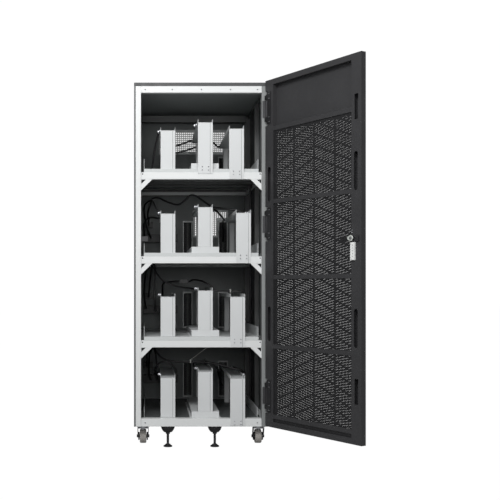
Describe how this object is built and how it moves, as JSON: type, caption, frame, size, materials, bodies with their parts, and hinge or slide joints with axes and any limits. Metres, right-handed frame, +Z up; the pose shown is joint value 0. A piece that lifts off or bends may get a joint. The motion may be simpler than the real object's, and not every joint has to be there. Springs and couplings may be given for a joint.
{
  "type": "battery rack cabinet",
  "caption": "Open battery rack cabinet with shelves, battery hold-down brackets, a perforated hinged door, swivel casters and levelling feet.",
  "frame": {"origin": "centre of the underside of the base frame", "axes": "+X to the right seen from the front, +Y towards the rear, +Z up"},
  "size_m": [0.9097, 1.2633, 1.635],
  "materials": {
    "frame_paint": "semi-gloss white powder coat",
    "bracket_paint": "satin light grey powder coat",
    "shelf_paint": "satin light grey powder coat",
    "panel_paint": "fine-textured charcoal powder coat",
    "door_paint": "fine-textured charcoal powder coat",
    "grille_metal": "satin galvanised",
    "brush_bristle": "matte nylon bristle",
    "black_plastic": "matte moulded",
    "cable_jacket": "satin extruded jacket",
    "tie_plastic": "natural nylon",
    "latch_plastic": "light grey moulded",
    "zinc_steel": "bright zinc plate",
    "wheel_rubber": "warm grey polyurethane",
    "black_steel": "black oxide"
  },
  "bodies": {
    "root": {"upright_front_left": "frame_paint", "upright_front_right": "frame_paint", "uprights_rear": "panel_paint", "uprights_middle": "panel_paint", "top_frame": "frame_paint", "base_frame": "frame_paint", "base_tray": "shelf_paint", "foot_beams": "door_paint", "roof_panel": "panel_paint", "side_panel_left": "panel_paint", "side_panel_right": "panel_paint", "rear_panel": "panel_paint", "vent_meshes": "grille_metal", "cable_entry_frames": "grille_metal", "cable_entry_brushes": "brush_bristle", "shelf_rails": "frame_paint", "shelf_ribs": "panel_paint", "shelf_trays": "shelf_paint", "tray_guides": "bracket_paint", "gussets": "frame_paint", "hold_down_front_legs": "bracket_paint", "hold_down_rear_legs": "bracket_paint", "hold_down_bars": "bracket_paint", "pedestals": "bracket_paint", "wiring_ducts": "black_plastic", "frame_screws": "zinc_steel", "cable_lugs": "zinc_steel", "cables_1": "cable_jacket", "cables_2": "cable_jacket", "cables_3": "cable_jacket", "cables_4": "cable_jacket", "cable_plugs": "black_plastic", "hinge_frame_leaves": "door_paint", "hinge_pins": "zinc_steel", "latch_keeper": "door_paint", "caster_plates": "zinc_steel", "foot_housings": "black_plastic", "cable_ties": "tie_plastic"},
    "door": {"hinge_door_leaves": "door_paint", "door_shell": "door_paint", "door_crossbars": "door_paint", "door_perforated_panel": "door_paint", "latch_case": "latch_plastic", "latch_escutcheon": "black_plastic"},
    "latch": {"latch_spindle": "zinc_steel", "latch_cam": "zinc_steel"},
    "lever": {"latch_handle": "black_plastic"},
    "lock": {"lock_plug": "zinc_steel"},
    "caster_1": {"caster_fork_1": "zinc_steel"},
    "wheel_1": {"caster_wheel_1": "wheel_rubber"},
    "foot_1": {"levelling_foot_1": "black_steel"},
    "caster_2": {"caster_fork_2": "zinc_steel"},
    "wheel_2": {"caster_wheel_2": "wheel_rubber"},
    "foot_2": {"levelling_foot_2": "black_steel"},
    "caster_3": {"caster_fork_3": "zinc_steel"},
    "wheel_3": {"caster_wheel_3": "wheel_rubber"},
    "foot_3": {"levelling_foot_3": "black_steel"},
    "caster_4": {"caster_fork_4": "zinc_steel"},
    "wheel_4": {"caster_wheel_4": "wheel_rubber"},
    "foot_4": {"levelling_foot_4": "black_steel"}
  },
  "joints": [
    {"name": "door_hinge", "type": "hinge", "parent": "root", "child": "door", "pos_m": [0.29, -0.387, 0.901], "axis": [0, 0, 1], "range_deg": [-121.5, 6.5]},
    {"name": "latch_turn", "type": "hinge", "parent": "door", "child": "latch", "pos_m": [0.56625, -0.84928, 0.813], "axis": [0.8526, 0.5225, 0], "range_deg": [0, 90]},
    {"name": "lever_lift", "type": "hinge", "parent": "latch", "child": "lever", "pos_m": [0.59518, -0.82569, 0.813], "axis": [0, 0, -1], "range_deg": [0, 40]},
    {"name": "lock_turn", "type": "hinge", "parent": "door", "child": "lock", "pos_m": [0.56625, -0.84928, 0.781], "axis": [0.8526, 0.5225, 0], "range_deg": [0, 90]},
    {"name": "caster_1_swivel", "type": "hinge", "parent": "root", "child": "caster_1", "pos_m": [-0.26, -0.325, -0.012], "axis": [0, 0, 1], "continuous": true},
    {"name": "wheel_1_spin", "type": "hinge", "parent": "caster_1", "child": "wheel_1", "pos_m": [-0.26, -0.305, -0.0525], "axis": [1, 0, 0], "continuous": true},
    {"name": "caster_2_swivel", "type": "hinge", "parent": "root", "child": "caster_2", "pos_m": [0.26, -0.325, -0.012], "axis": [0, 0, 1], "continuous": true},
    {"name": "wheel_2_spin", "type": "hinge", "parent": "caster_2", "child": "wheel_2", "pos_m": [0.26, -0.305, -0.0525], "axis": [1, 0, 0], "continuous": true},
    {"name": "caster_3_swivel", "type": "hinge", "parent": "root", "child": "caster_3", "pos_m": [-0.26, 0.325, -0.012], "axis": [0, 0, 1], "continuous": true},
    {"name": "wheel_3_spin", "type": "hinge", "parent": "caster_3", "child": "wheel_3", "pos_m": [-0.26, 0.345, -0.0525], "axis": [1, 0, 0], "continuous": true},
    {"name": "caster_4_swivel", "type": "hinge", "parent": "root", "child": "caster_4", "pos_m": [0.26, 0.325, -0.012], "axis": [0, 0, 1], "continuous": true},
    {"name": "wheel_4_spin", "type": "hinge", "parent": "caster_4", "child": "wheel_4", "pos_m": [0.26, 0.345, -0.0525], "axis": [1, 0, 0], "continuous": true},
    {"name": "foot_1_slide", "type": "slide", "parent": "root", "child": "foot_1", "axis": [0, 0, -1], "range_m": [-0.015, 0.01]},
    {"name": "foot_2_slide", "type": "slide", "parent": "root", "child": "foot_2", "axis": [0, 0, -1], "range_m": [-0.015, 0.01]},
    {"name": "foot_3_slide", "type": "slide", "parent": "root", "child": "foot_3", "axis": [0, 0, -1], "range_m": [-0.015, 0.01]},
    {"name": "foot_4_slide", "type": "slide", "parent": "root", "child": "foot_4", "axis": [0, 0, -1], "range_m": [-0.015, 0.01]}
  ]
}
